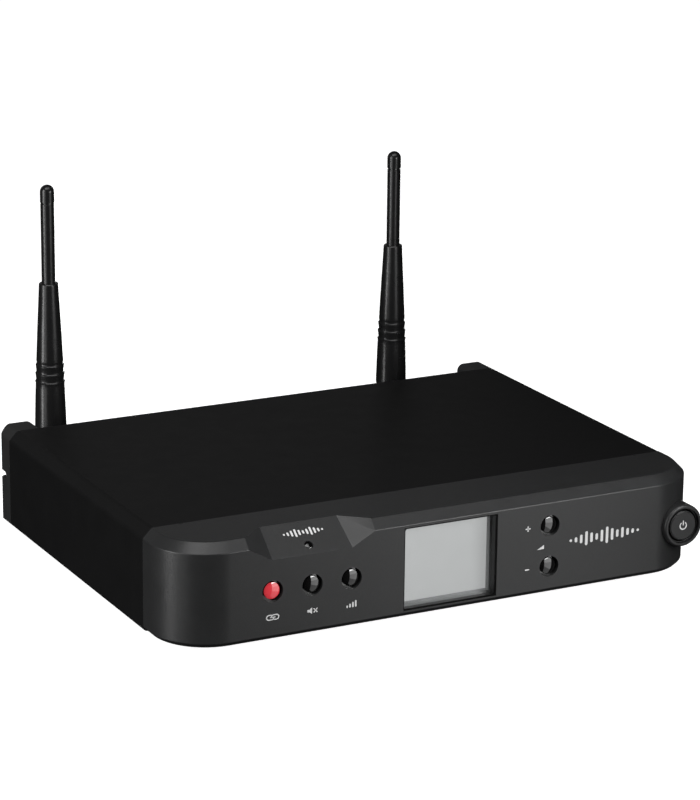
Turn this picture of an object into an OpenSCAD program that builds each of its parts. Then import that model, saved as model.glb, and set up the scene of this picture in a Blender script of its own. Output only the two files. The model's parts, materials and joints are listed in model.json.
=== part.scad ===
// Half-rack wireless receiver: a black aluminium sleeve between a moulded front bezel
// and a rear frame, with two folding antennas on the rear panel.
// Frame: X to the right seen from the front, Y to the rear, Z up. The origin lies on the
// surface the feet stand on, below the middle of the whole unit with its antennas upright.
// Sizes are in millimetres.

/* [Enclosure] */
// Overall width, half of a rack
body_w = 210; // [206:1:216]
// Height of the enclosure above its feet
body_h = 37; // [36.5:0.5:40]
// Length of the aluminium sleeve, front to back
sleeve_d = 124; // [120:1:140]
// Wall of the sleeve
sleeve_wall = 2; // [1.6:0.1:2.2]
// Size of the 45 degree slope along the top edges
edge_slope = 3.4; // [2.5:0.1:3.8]
// Height of the rubber feet
foot_h = 2; // [1.5:0.5:4]

/* [Front bezel] */
// Depth of the bezel ahead of the sleeve
bezel_d = 26.4; // [25:0.2:30]
// Radius of its front corners, seen from above
bezel_r = 20.7; // [16:0.1:21]
// Wall of the front and sides
bezel_wall = 2.2; // [2:0.1:2.4]
// Wall of its top and bottom
bezel_floor = 1.6; // [1.5:0.1:1.8]
// Size of the slope along its lower edge
lower_slope = 1.7; // [1:0.1:2]
// Height of the control row above the enclosure's underside
key_h = 17.6; // [17:0.1:18.5]

/* [Controls] */
// Middle of the three keys on the left
key_x = -53.8; // [-55:0.1:-52]
// Distance between neighbouring keys
key_pitch = 15; // [14:0.1:16]
// Radius of the keys' holes
key_hole_r = 3.9; // [3.7:0.1:4.1]
// Place of the two level keys
level_x = 39.8; // [38:0.1:42]
// Place of the power button
power_x = 94.9; // [94.5:0.1:95.2]
// Radius of the round housing of the power button
power_r = 7.9; // [7.8:0.1:8]
// Travel of a key
key_travel = 0.5; // [0.3:0.1:0.6]

/* [Display] */
// Width of the display opening
display_w = 37.1; // [36:0.1:38]
// Height of the display opening
display_h = 30.4; // [29:0.1:30.4]
// Depth of the window behind the front face
display_deep = 3.2; // [2.8:0.1:3.2]

/* [Rear] */
// Depth of the two rear wings behind the sleeve
wing_d = 10.1; // [8:0.1:12]
// Width of each wing
wing_w = 13.5; // [13:0.1:16]
// Height of the antenna sockets above the enclosure's underside
socket_h = 18.5; // [17:0.5:20]

/* [Antennas] */
// Distance of each antenna from the middle
antenna_x = 74.4; // [70:0.1:78]
// Distance of the folding axis behind the sleeve
antenna_back = 34.5; // [34:0.5:38]
// Height of the antenna tip above its folding axis
antenna_len = 102.7; // [95:0.1:120]
// Radius of the whip
whip_r = 2.65; // [2.4:0.05:2.8]

/* [Hidden] */

$fn = 64;
eps = 0.01;
gap = 0.05;        // clearance between parts that touch
half_w = body_w / 2;
base_z = foot_h;
top_z = foot_h + body_h;
power_proud = 1.9;       // how far the power button's housing stands out of the front
sleeve_foot_r = 6.2;     // widest radius of an antenna
total_d = power_proud + bezel_d + sleeve_d + antenna_back + sleeve_foot_r;
face_y = power_proud - total_d / 2;
seam_y = face_y + bezel_d;
rear_y = seam_y + sleeve_d;
mid_y = (seam_y + rear_y) / 2;
key_z = base_z + key_h;
inner_w = half_w - sleeve_wall;
slope_end_r = 2.4;       // rounding where the sleeve's slopes meet its faces
bezel_edge_r = 0.6;      // and the same on the bezel

// Screw ports run the whole length of the sleeve, two at each side.
port_x = half_w - 7.5;
port_z = [base_z + sleeve_wall + 2.8, top_z - sleeve_wall - 2.8];
port_r = 3.1;
port_hole_r = 1.3;
screw_shank_r = 1.2;
screw_hole_r = 1.6;      // clearance hole for a screw through a metal sheet
pilot_r = 1.25;          // hole that a screw cuts its thread in
small_head_r = 2.4;
small_head_h = 1.6;
cut = 1;                 // how far a cutter runs past the face it starts from

// Boards: the main board slides in slots, the front board stands behind the bezel.
board_t = 1.6;
board_z = base_z + 9;
board_top = board_z + board_t;
part_lift = 0.1;         // parts on the main board stand this far above it
radio_y = mid_y + 2;
radio_z = board_top + 1.6;
radio_top = radio_z + 1;
front_board_y = face_y + 9.5;
window_z = base_z + bezel_floor + 0.1;
window_h = 31.6;
window_w = 41;
window_t = 1.2;
gasket_y = face_y + display_deep + 2 * gap + window_t;
gasket_t = 2.2;
gasket_open = [35.6, 28.6];    // the opening in the gasket, width and height
lit_area = [35.2, 28.2];
display_z = key_z - 0.1;
subpanel_t = 1.5;

// Bezel fixings, as [x, z]. The posts start inside the front wall, where it curves back.
post_y = face_y + bezel_wall - 0.1;
post_at = [[-90, base_z + 6.5], [-90, top_z - 5], [80, base_z + 6.5], [80, top_z - 5]];
board_boss_at = [[-78, base_z + 8], [-27, base_z + 8], [27, base_z + 29], [72, base_z + 29]];

// The keys' places, as [x, z].
level_pitch = 15.2;
link_at = [key_x - key_pitch, key_z];
mute_at = [key_x, key_z];
channel_at = [key_x + key_pitch, key_z];
level_up_at = [level_x, key_z + level_pitch / 2];
level_down_at = [level_x, key_z - level_pitch / 2];
keys_at = [link_at, mute_at, channel_at, level_up_at, level_down_at];
key_r = key_hole_r - 0.9;
key_dip = 0.85;    // how far the foot of a key's dome lies behind the front face
key_dome_h = 0.55;
switch_y = face_y + 6;
stem_r = 1.65;
stem_end_y = face_y + 7.2;
power_switch_y = face_y + 5.6;
power_bore_r = power_r - 1.25;
power_cap_r = power_bore_r - 1.2;

// The sloped badge recess over the three keys: corners on the front face and on the top.
badge_low_z = base_z + 28.8;
badge_back = 11.2;
badge_angle = atan2(top_z - badge_low_z, badge_back);
badge_lower_x = 15.2;  // half width of the middle face at its lower edge
badge_upper_x = 14.6;   // and at its upper edge
badge_side_x = 23.9;    // half width of the whole recess on the front face
lens_r = 1.6;
lens_up = 3.85;  // up the slope from its lower edge

// Rear panel and its sockets.
panel_t = 1.2;
panel_y = rear_y + panel_t;
frame_back_y = rear_y + 3.5;
socket_z = base_z + socket_h;
xlr_x = 38;
jack_x = 8;
usb_x = -10;
dc_x = -30;
jack_z = board_top + 7.7;
dc_z = board_top + 5.5;
usb_z = board_top + 1.4;
xlr_nose_r = 11.4;
xlr_screw_at = [[-9.8, 11.3], [9.8, -11.3]];
jack_bore_r = 3.25;
jack_nose_r = 4.45;
jack_end_y = rear_y + 7.2;
dc_nose_r = 4;
dc_pin_r = 1.05;
washer_t = 0.6;
xlr_bore_r = 8;
xlr_floor_y = rear_y - 13;
xlr_pin_r = 1.2;
socket_nut_r = 4.6;
socket_r = 3.12;
socket_end_y = rear_y + 11.2;
socket_inside = 2.5;     // how far the antenna sockets reach in behind the panel
panel_play = 0.15;       // play round the connectors in the rear panel's holes

// Antennas.
pivot_y = rear_y + antenna_back;
pivot_z = socket_z;
coupling_y = rear_y + 4.6;
coupling_end_y = rear_y + 14;
swivel_y = coupling_end_y + 0.3;
swivel_r = 5.2;
ear_r = 5.6;
tongue_r = 5.2;
tongue_half = 2.9;
hinge_pin_r = 1.25;
neck_r = 2;              // bore of the coupling's end, in which the swivel turns
sleeve_low = 6.5;     // height of the sleeve's foot above the folding axis
sleeve_high = 64.4;   // and of its top end
sleeve_top_r = 3.7;
rib_low = 25.7;       // height of the lowest of the three ribs
rib_pitch = 3.3;
tip_low = antenna_len - 7.3;
tip_neck = 0.5;          // height of the groove under the tip
whip_low = sleeve_high - 7.9;

// Points of an arc of radius r that rounds the corner b between a and c.
function arc_at(a, b, c, r, steps) =
    let(to_a = (a - b) / norm(a - b), to_c = (c - b) / norm(c - b), half = acos(to_a * to_c) / 2,
        middle = b + (to_a + to_c) / norm(to_a + to_c) * r / sin(half), turn = 180 - 2 * half,
        first = b + to_a * r / tan(half) - middle, last = b + to_c * r / tan(half) - middle)
    [for (i = [0:steps]) let(t = turn * i / steps)
        middle + (first * sin(turn - t) + last * sin(t)) / sin(turn)];

// The closed outline through some points, with each corner rounded to its own radius.
function rounded(points, radii, steps = 4) = let(n = len(points)) [
    for (i = [0:n - 1]) each radii[i] == 0 ? [points[i]]
        : arc_at(points[(i + n - 1) % n], points[i], points[(i + 1) % n], radii[i], steps)];

module along_y(at, y) { translate([at[0], y, at[1]]) rotate([-90, 0, 0]) children(); }

module disc(at, y, r, length) { along_y(at, y) cylinder(r = r, h = length); }

module mirrored() { children(); mirror([1, 0, 0]) children(); }

// Pan-head screw that enters along +Y (way 1) or -Y (way -1) at a seat plane.
module screw(at, seat_y, way, head_r, head_h, length) {
    translate([at[0], seat_y, at[1]]) rotate([way > 0 ? -90 : 90, 0, 0]) {
        translate([0, 0, -head_h]) cylinder(r = head_r, h = head_h);
        translate([0, 0, -eps]) cylinder(r = screw_shank_r, h = length);
    }
}

// Right half of the enclosure's outline in the XZ plane, moved inwards by an inset.
function half_profile(inset) =
    let(w = half_w - inset, low = base_z + inset, high = top_z - inset,
        slope = edge_slope - inset * (2 - sqrt(2)))
    rounded([[0, low], [w, low], [w, high - slope], [w - slope, high], [0, high]],
        [0, max(1.5 - inset, 0), max(slope_end_r - inset, 0), max(slope_end_r - inset, 0), 0]);

module profile(inset) {
    half = half_profile(inset);
    polygon(concat(half, [for (i = [len(half) - 2:-1:1]) [-half[i][0], half[i][1]]]));
}

module profile_slab(inset, y, length) {
    translate([0, y + length, 0]) rotate([90, 0, 0]) linear_extrude(length) profile(inset);
}

module enclosure_sleeve() color("#161616") {
    rib = 1.2;
    rib_x = inner_w - 3;
    rib_w = 3.2;
    slot_play = 0.1;
    translate([0, rear_y, 0]) rotate([90, 0, 0]) linear_extrude(sleeve_d) difference() {
        union() {
            difference() { profile(0); profile(sleeve_wall); }
            for (side = [-1, 1], z = port_z) translate([side * port_x, z]) circle(r = port_r);
            mirrored() for (z = [board_z - rib - slot_play, board_top + slot_play])
                translate([rib_x, z]) square([rib_w, rib]);
        }
        for (side = [-1, 1], z = port_z) translate([side * port_x, z]) circle(r = port_hole_r);
    }
}

module rubber_feet() color("#1c1c1c") {
    foot_x = 88;
    foot_y = 48;
    foot_r = 6.2;
    sole_r = 5.6;
    sole_h = 0.8;
    for (x = [-foot_x, foot_x], y = [-foot_y, foot_y]) translate([x, mid_y + y, 0]) {
        cylinder(r1 = sole_r, r2 = foot_r, h = sole_h);
        translate([0, 0, sole_h - eps]) cylinder(r = foot_r, h = foot_h - sole_h + eps);
    }
}

// Half of the bezel's cross-section, from its middle plane out to a reach.
module edge_section(reach, low, high, lower, upper, r) {
    polygon(rounded([[0, low], [reach - lower, low], [reach, low + lower],
        [reach, high - upper], [reach - upper, high], [0, high]], [0, r, r, r, r, 0]));
}

// Block with the bezel's outline: round front corners and sloped edges.
module bezel_block(inset, low, high, lower, upper, r) {
    corner_x = half_w - bezel_r;
    corner_y = face_y + bezel_r;
    mirrored() translate([corner_x, corner_y, 0]) rotate([0, 0, -90])
        rotate_extrude(angle = 90) edge_section(bezel_r - inset, low, high, lower, upper, r);
    translate([corner_x, corner_y, 0]) rotate([90, 0, -90]) linear_extrude(2 * corner_x)
        edge_section(bezel_r - inset, low, high, lower, upper, r);
    mirrored() translate([0, seam_y, 0]) rotate([90, 0, 0]) linear_extrude(seam_y - corner_y)
        edge_section(half_w - inset, low, high, lower, upper, r);
}

module bezel_outer() { bezel_block(0, base_z, top_z, lower_slope, edge_slope, bezel_edge_r); }

module bezel_inner() {
    slope_wall = 1.8;
    foot_slope = 0.2;
    slope = edge_slope + slope_wall * sqrt(2) - bezel_wall - bezel_floor;
    bezel_block(bezel_wall, base_z + bezel_floor, top_z - bezel_floor, foot_slope, slope, 0);
    translate([-half_w + bezel_wall, seam_y - cut, base_z + bezel_floor])
        cube([body_w - 2 * bezel_wall, 2 * cut, body_h - 2 * bezel_floor - slope]);
}

// Smallest solid that holds all the given points.
module solid_of(points) {
    hull() polyhedron(points, [[for (i = [0:len(points) - 1]) i]]);
}

// Everything above the two small faces that end the badge's side faces straight, at its outer edges.
module badge_ends() {
    reach = 40;
    height = 90;
    front_y = -2;
    back_y = 18;
    fall = (badge_back - edge_slope) / (badge_side_x - badge_upper_x);
    ridge_z = top_z - edge_slope - fall * badge_side_x;
    solid_of([for (x = [-reach, 0, reach], y = [front_y, back_y], up = [0, 1]) [
        x, y, up * height + (1 - up) * (ridge_z + y + fall * abs(x))]]);
}

// Everything above the badge's sloped faces, moved down by a drop.
module badge_cutter(drop) {
    over = 0.35;    // how far the faces run on past the block, as a share of their run
    beyond = 1.5;   // and how far the side faces do
    height = 12;
    run = [badge_upper_x - badge_lower_x, badge_back, top_z - badge_low_z];
    low = [badge_lower_x, 0, badge_low_z];
    side = low + beyond * ([badge_side_x, 0, top_z - edge_slope] - low);
    half = [low - run * over, low + run * (1 + over), side - run * over, side + run * (1 + over)];
    translate([key_x, face_y, -drop]) intersection() {
        solid_of([for (p = half, s = [-1, 1], up = [0, height]) [s * p[0], p[1], p[2] + up]]);
        badge_ends();
    }
}

module display_opening() {
    taper = 0.5;
    start_y = face_y - cut / 2;
    length = display_deep + 1.5 * cut;
    solid_of([for (x = [-1, 1], up = [-1, 1], end = [0, 1]) [
        x * (display_w / 2 - taper * end), start_y + length * end,
        display_z + up * (display_h / 2 - taper * end)]]);
}

// Round housing of the power button, with a rounded front edge.
module power_housing() {
    edge = 0.9;
    length = power_proud + 11.8;    // back to where it meets the side wall
    along_y([power_x, key_z], face_y - power_proud) rotate_extrude() {
        translate([0, edge]) square([power_r, length - edge]);
        square([power_r - edge, length]);
        translate([power_r - edge, edge]) circle(r = edge);
    }
}

module front_bezel() color("#303132") {
    badge_wall = 2.6;
    thick_w = 45;      // width of the thicker wall round the display
    post_r = 2.6;
    boss_r = 2.2;
    boss_y = face_y + bezel_wall / 2;
    notch = [1.4, cut, cut];
    notch_x = 90.2;
    notch_z = top_z - 0.8;
    slot = [15.6, 6, 20];    // room for the front board's right end, through the power housing
    slot_x = power_x - 12;
    slot_y = face_y + 8.8;
    pilot_h = 9;
    boss_pilot_h = 5;
    hole_h = 6;
    difference() {
        union() {
            difference() {
                bezel_outer();
                difference() {
                    bezel_inner();
                    badge_cutter(badge_wall);
                    translate([-thick_w / 2, face_y, base_z]) cube([thick_w, display_deep, body_h]);
                }
            }
            power_housing();
            for (p = post_at) disc(p, post_y, post_r, seam_y - subpanel_t - gap - post_y);
            for (p = board_boss_at) disc(p, boss_y, boss_r, front_board_y - gap - boss_y);
        }
        badge_cutter(0);
        display_opening();
        // pry notches in the seam's upper edge
        mirrored() translate([notch_x, seam_y - cut / 2, notch_z]) cube(notch);
        for (p = keys_at) disc(p, face_y - cut, key_hole_r, bezel_wall + 2 * cut);
        disc([power_x, key_z], face_y - power_proud - cut, power_bore_r, power_proud + 14);
        translate([slot_x, slot_y, key_z - slot[2] / 2]) cube(slot);
        for (p = post_at) disc(p, seam_y - subpanel_t - pilot_h, pilot_r, pilot_h);
        for (p = board_boss_at) disc(p, front_board_y - boss_pilot_h, pilot_r, boss_pilot_h);
        translate([key_x, face_y, badge_low_z]) rotate([badge_angle, 0, 0])
            translate([0, lens_up, -hole_h]) cylinder(r = lens_r, h = hole_h + 2 * cut);
    }
}

module front_subpanel() color("silver") {
    inset = 2.6;
    window = [36, 2 * subpanel_t + cut, 18];
    windows_x = [-62, 0, 56];
    window_low_z = base_z + 9;
    hole_y = seam_y - 2 * subpanel_t;
    difference() {
        profile_slab(inset, seam_y - subpanel_t, subpanel_t - gap);
        for (x = windows_x) translate([x - window[0] / 2, hole_y, window_low_z]) cube(window);
        for (side = [-1, 1], z = port_z) disc([side * port_x, z], hole_y, screw_hole_r, 4);
        for (p = post_at) disc(p, hole_y, 1.4, 4);
    }
}

module front_screws() color("silver") {
    for (side = [-1, 1], z = port_z)
        screw([side * port_x, z], seam_y - subpanel_t - gap, 1, small_head_r, small_head_h, 9);
}

module bezel_screws() color("silver") {
    for (p = post_at) screw(p, seam_y, -1, small_head_r, small_head_h, 9);
}

module display_window() color("lightgrey", 0.4) {
    translate([-window_w / 2, face_y + display_deep + gap, window_z])
        cube([window_w, window_t, window_h]);
}

module display_gasket() color("#6a6b6c") {
    difference() {
        translate([-window_w / 2, gasket_y, window_z]) cube([window_w, gasket_t, window_h]);
        translate([-gasket_open[0] / 2, gasket_y - cut, display_z - gasket_open[1] / 2])
            cube([gasket_open[0], gasket_t + 2 * cut, gasket_open[1]]);
    }
}

// Display module: its lit area stands forward inside the gasket.
module display_panel() color("#b8babb") {
    back_y = gasket_y + gasket_t + gap;
    module_w = 45;
    proud = 0.3;
    translate([-module_w / 2, back_y, window_z])
        cube([module_w, front_board_y - gap - back_y, window_h]);
    translate([-lit_area[0] / 2, back_y - proud, display_z - lit_area[1] / 2])
        cube([lit_area[0], proud + eps, lit_area[1]]);
}

module status_lens() color("#3a3f42") {
    sunk = 0.5;
    length = 4.5;
    translate([key_x, face_y, badge_low_z]) rotate([badge_angle, 0, 0])
        translate([0, lens_up, -sunk - length]) cylinder(r = lens_r - gap, h = length);
}

module front_board() color("darkgreen") {
    left_x = -84;
    right_x = power_x + 3.3;
    height = 28;
    post_hole_r = 3;
    boss_hole_r = 1.4;
    difference() {
        translate([left_x, front_board_y, base_z + 4]) cube([right_x - left_x, board_t, height]);
        for (p = post_at) disc(p, front_board_y - cut, post_hole_r, board_t + 2 * cut);
        for (p = board_boss_at) disc(p, front_board_y - cut, boss_hole_r, board_t + 2 * cut);
    }
}

module front_board_screws() color("silver") {
    for (p = board_boss_at) screw(p, front_board_y + board_t, -1, 2.2, 1.4, 5.8);
}

module key_switches() color("#252525") {
    size = 6;
    play = 0.2;
    for (p = keys_at) difference() {
        translate([p[0] - size / 2, switch_y, p[1] - size / 2])
            cube([size, front_board_y - switch_y, size]);
        disc(p, switch_y - cut, stem_r + play / 2, stem_end_y + key_travel + play - switch_y + cut);
    }
}

module key_leds() color("white") {
    led = [1.6, 0.9, 0.9];
    led_up = 3.4;
    for (p = keys_at) translate([p[0] - led[0] / 2, front_board_y - led[1], p[1] + led_up]) cube(led);
}

module power_switch() color("#252525") {
    size = [6.4, front_board_y - power_switch_y, 8];
    bore_r = 2.15;
    bore_h = 4.4;
    difference() {
        translate([power_x - size[0] / 2, power_switch_y, key_z - size[2] / 2]) cube(size);
        disc([power_x, key_z], power_switch_y - cut, bore_r, bore_h + cut);
    }
}

// Ring that lines the housing and guides the power button's plunger.
module power_guide() color("black") {
    r = power_bore_r - gap;
    wall = 0.5;
    front_y = face_y - 0.6;
    length = 5.6;
    floor_t = 1.4;
    hole_r = 2.1;
    difference() {
        disc([power_x, key_z], front_y, r, length);
        disc([power_x, key_z], front_y - cut, r - wall, length - floor_t + cut);
        disc([power_x, key_z], front_y + length - floor_t - cut, hole_r, floor_t + 2 * cut);
    }
}

module ribbon_cable() color("whitesmoke") {
    y0 = front_board_y + board_t;
    z0 = board_top;
    t = 0.3;
    bend = [for (a = [0:15:90]) [y0 + 5 + 5 * sin(a), z0 + 9 - 4 + 4 * cos(a)]];
    inner = [for (a = [90:-15:0]) [y0 + 5 + (5 - t) * sin(a), z0 + 9 - 4 + (4 - t) * cos(a)]];
    // the connector on the front board
    translate([-9, y0, z0 + 7.5]) cube([18, 2, 3]);
    // the cable, bent down through the subpanel's window to the main board
    translate([8, 0, 0]) rotate([90, 0, -90]) mirror([1, 0, 0]) linear_extrude(16) polygon(concat(
        [[y0 + 2 - eps, z0 + 9]], bend,
        [[y0 + 10, z0 + 3.3], [y0 + 22, z0 + 3.3], [y0 + 22, z0 + 3], [y0 + 10 - t, z0 + 3]],
        inner, [[y0 + 2 - eps, z0 + 9 - t]]));
    // the connector on the main board
    translate([-9, y0 + 22 - eps, z0 + gap]) cube([18, 4, 4]);
}

// A domed key: cap, retaining flange and the stem pressed on its switch.
module key(at, shade) color(shade) {
    sphere_r = (key_r * key_r + key_dome_h * key_dome_h) / (2 * key_dome_h);
    intersection() {
        translate([at[0], face_y + key_dip - key_dome_h + sphere_r, at[1]]) sphere(r = sphere_r);
        disc(at, face_y + key_dip - key_dome_h - 1, key_r, key_dome_h + 1 + 0.4);
    }
    disc(at, face_y + key_dip, key_r, bezel_wall + gap - key_dip + eps);
    disc(at, face_y + bezel_wall + gap, key_hole_r + 0.6, 1);
    disc(at, face_y + bezel_wall + 1, stem_r, stem_end_y - face_y - bezel_wall - 1);
}

module link_button() { key(link_at, "red"); }
module mute_button() { key(mute_at, "#111111"); }
module channel_button() { key(channel_at, "#111111"); }
module level_up_button() { key(level_up_at, "#111111"); }
module level_down_button() { key(level_down_at, "#111111"); }

module power_button() color("#2c2d2e") {
    at = [power_x, key_z];
    front_y = face_y - 1.5;
    step = 0.3;
    cap_t = 2.7;
    plunger_r = 2;
    plunger_end_y = face_y + 8.2;
    disc(at, front_y, power_cap_r - step, step + eps);
    disc(at, front_y + step, power_cap_r, cap_t - step);
    disc(at, front_y + cap_t - 0.1, plunger_r, plunger_end_y - front_y - cap_t + 0.1);
}

module main_board() color("darkgreen") {
    side_play = 0.3;
    front_y = seam_y + 4;
    back_y = rear_y - 1;
    recess = [26, 20];    // the board is cut away round the three-pin connector
    difference() {
        translate([-inner_w + side_play, front_y, board_z])
            cube([2 * (inner_w - side_play), back_y - front_y, board_t]);
        translate([xlr_x - recess[0] / 2, rear_y + cut - recess[1], board_z - cut])
            cube([recess[0], recess[1], board_t + 2 * cut]);
    }
}

module chip(at, size) { translate([at[0], mid_y + at[1], board_top + part_lift]) cube(size); }

module board_chips() color("#1a1a1a") {
    chip([-70, -20], [14, 14, 1.4]);
    chip([-40, -30], [9, 9, 1.2]);
    chip([20, -25], [10, 6, 1.5]);
    chip([40, -25], [10, 6, 1.5]);
    chip([62, 5], [7, 7, 1.2]);
    chip([-58, 20], [6, 5, 1.2]);
}

module board_capacitors() color("#2b3a55") {
    // supply capacitors at the front, coupling capacitors at the rear
    for (x = [50, 60, 70, 80]) translate([x, mid_y - 44, board_top + part_lift]) cylinder(r = 4, h = 11);
    for (x = [-62, -53, -44]) translate([x, mid_y + 34, board_top + part_lift]) cylinder(r = 3.2, h = 5);
}

module board_coils() color("#5a4a3a") {
    coil_h = 6;
    for (x = [-88, -72]) translate([x, mid_y + 34, board_top + part_lift]) difference() {
        cylinder(r = 6, h = coil_h);
        translate([0, 0, -cut]) cylinder(r = 2, h = coil_h + 2 * cut);
    }
}

// The radio board stands on two pin strips; its shield covers the radio circuits.
module radio_board() color("#12324a") {
    size = [44, 30, 1];
    strip = [2, 26, radio_z - board_top - part_lift + eps];
    translate([-size[0] / 2, radio_y, radio_z]) cube(size);
    for (x = [-20, 18]) translate([x, radio_y + 2, board_top + part_lift]) cube(strip);
}

module radio_shield() color("silver") {
    size = [34, 22, 3];
    wall = 0.3;
    low = [-size[0] / 2, radio_y + 4, radio_top + gap];
    difference() {
        translate(low) cube(size);
        translate(low + [wall, wall, -cut])
            cube([size[0] - 2 * wall, size[1] - 2 * wall, size[2] - wall + cut]);
    }
}

// Coaxial leads from the sockets down to the radio board.
module antenna_leads() color("#0e0e0e") {
    r = 0.7;
    elbow_r = 0.78;
    low_z = board_top + 6.2;
    bend_y = mid_y + 50;
    end = [21, mid_y + 24];
    run = [antenna_x - end[0], bend_y - end[1]];
    mirrored() {
        // forward from the socket
        disc([antenna_x, socket_z], bend_y, r, rear_y - socket_inside - 0.1 - bend_y);
        translate([antenna_x, bend_y, socket_z]) sphere(r = elbow_r);
        // down to the lower level
        translate([antenna_x, bend_y, low_z]) cylinder(r = r, h = socket_z - low_z);
        translate([antenna_x, bend_y, low_z]) sphere(r = elbow_r);
        // inwards, in front of the connectors
        translate([end[0], end[1], low_z]) rotate([0, 90, atan2(run[1], run[0])])
            cylinder(r = r, h = norm(run));
        translate([end[0], end[1], low_z]) sphere(r = elbow_r);
        // the plug on the radio board
        translate([end[0], end[1], radio_top + gap]) cylinder(r = 1.1, h = low_z - radio_top);
    }
}

module rear_panel() color("#1d1d1d") {
    inset = 1.1;
    hole_y = rear_y - cut;
    hole_h = panel_t + 2 * cut;
    usb_hole = [8.6, hole_h, 3.8];
    difference() {
        profile_slab(inset, rear_y + gap, panel_t - gap);
        for (side = [-1, 1]) {
            for (z = port_z) disc([side * port_x, z], hole_y, screw_hole_r, hole_h);
            disc([side * antenna_x, socket_z], hole_y, socket_r + panel_play, hole_h);
        }
        disc([xlr_x, socket_z], hole_y, xlr_nose_r + panel_play, hole_h);
        for (p = xlr_screw_at) disc([xlr_x + p[0], socket_z + p[1]], hole_y, screw_hole_r, hole_h);
        disc([jack_x, jack_z], hole_y, jack_nose_r + panel_play, hole_h);
        disc([dc_x, dc_z], hole_y, dc_nose_r + panel_play, hole_h);
        translate([usb_x - usb_hole[0] / 2, hole_y, usb_z - usb_hole[2] / 2]) cube(usb_hole);
    }
}

// One wing, at the right: a hollow corner open to the rear, notched at mid height.
module wing() {
    x0 = half_w - wing_w;
    wall = 2.2;
    inner_r = 2.8;     // rounding of the inner upper corner
    corner_r = 2.5;    // rounding of the outer rear corner, seen from above
    tall = top_z + cut;
    notch_r = 1.5;
    notch_y = rear_y + 5.3;
    notch_z = base_z + 18.6;
    scallop_r = 22;
    scallop_deep = 1;
    scallops_z = [notch_z + 8.4, notch_z - 10.4];
    difference() {
        intersection() {
            profile_slab(0, rear_y, wing_d);
            union() {
                translate([x0 + inner_r, rear_y, top_z - 10]) cube([wing_w, wing_d, 10]);
                translate([x0, rear_y, base_z]) cube([wing_w, wing_d, body_h - inner_r]);
                along_y([x0 + inner_r, top_z - inner_r], rear_y) cylinder(r = inner_r, h = wing_d);
            }
            // rounded outer rear corner
            union() {
                translate([x0, rear_y, 0]) cube([wing_w - corner_r, wing_d, tall]);
                translate([x0, rear_y, 0]) cube([wing_w, wing_d - corner_r, tall]);
                translate([half_w - corner_r, rear_y + wing_d - corner_r, 0])
                    cylinder(r = corner_r, h = tall);
            }
        }
        // hollow
        intersection() {
            translate([x0 + wall, frame_back_y, base_z]) cube([wing_w, wing_d, body_h]);
            profile_slab(wall - 0.1, frame_back_y, wing_d);
        }
        // notch in the side wall
        translate([half_w - 2 * wall, notch_y, notch_z]) {
            rotate([0, 90, 0]) cylinder(r = notch_r, h = 3 * wall);
            translate([0, 0, -notch_r]) cube([3 * wall, wing_d, 2 * notch_r]);
        }
        // shallow scallops above and below the notch
        for (z = scallops_z)
            translate([half_w - 2 * wall, rear_y + wing_d - scallop_deep + scallop_r, z])
                rotate([0, 90, 0]) cylinder(r = scallop_r, h = 3 * wall, $fn = 180);
    }
}

module rear_frame() color("#2a2b2c") {
    drop = 1.3;        // the rails lie this far inside the sleeve's outline
    rail = 3.2;
    rebate = 1;        // width of the rebate that holds the rear panel
    depth = frame_back_y - rear_y;
    difference() {
        union() {
            mirrored() wing();
            difference() {
                profile_slab(drop, rear_y, depth);
                translate([-half_w + wing_w, rear_y - cut, base_z + rail])
                    cube([body_w - 2 * wing_w, depth + 2 * cut, body_h - 2 * rail]);
            }
        }
        profile_slab(rebate, rear_y - cut, cut + panel_t + gap);
        for (side = [-1, 1], z = port_z)
            disc([side * port_x, z], rear_y - cut, screw_hole_r, depth + 2 * cut);
    }
}

module rear_screws() color("#303030") {
    for (side = [-1, 1], z = port_z) screw([side * port_x, z], frame_back_y, -1, 2.5, 1.8, 11);
}

module washer(at, hole_r, r) {
    difference() {
        disc(at, panel_y, r, washer_t);
        disc(at, panel_y - cut, hole_r, washer_t + 2 * cut);
    }
}

module panel_washers() color("silver") {
    for (side = [-1, 1]) washer([side * antenna_x, socket_z], socket_r + gap, 5.2);
    washer([jack_x, jack_z], jack_nose_r + gap, 6.8);
}

module xlr_body() color("#181818") {
    at = [xlr_x, socket_z];
    case = [24, 18 - gap, 26.8];
    nose_h = 4;
    thread_h = 8;
    difference() {
        union() {
            translate([xlr_x - case[0] / 2, rear_y - gap - case[1], socket_z - case[2] / 2]) cube(case);
            disc(at, rear_y - cut, xlr_nose_r, nose_h);
        }
        disc(at, xlr_floor_y, xlr_bore_r, 20);
        for (p = xlr_screw_at) disc([xlr_x + p[0], socket_z + p[1]], rear_y - thread_h, pilot_r, 9);
    }
}

module xlr_insert() color("#101010") {
    difference() {
        disc([xlr_x, socket_z], xlr_floor_y, xlr_bore_r - gap, 2.4);
        for (p = xlr_pin_at()) disc(p, xlr_floor_y - cut, xlr_pin_r + gap, 5);
    }
}

function xlr_pin_at() = [for (a = [45, 135, 270]) [xlr_x + 4.2 * cos(a), socket_z + 4.2 * sin(a)]];

module xlr_pins() color("gold") {
    pin_h = 11;
    for (p = xlr_pin_at()) {
        disc(p, xlr_floor_y + gap, xlr_pin_r, pin_h);
        translate([p[0], xlr_floor_y + gap + pin_h, p[1]]) sphere(r = xlr_pin_r);
    }
}

module xlr_screws() color("#303030") {
    for (p = xlr_screw_at) screw([xlr_x + p[0], socket_z + p[1]], panel_y, -1, 2.3, 1.2, 7);
}

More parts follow.
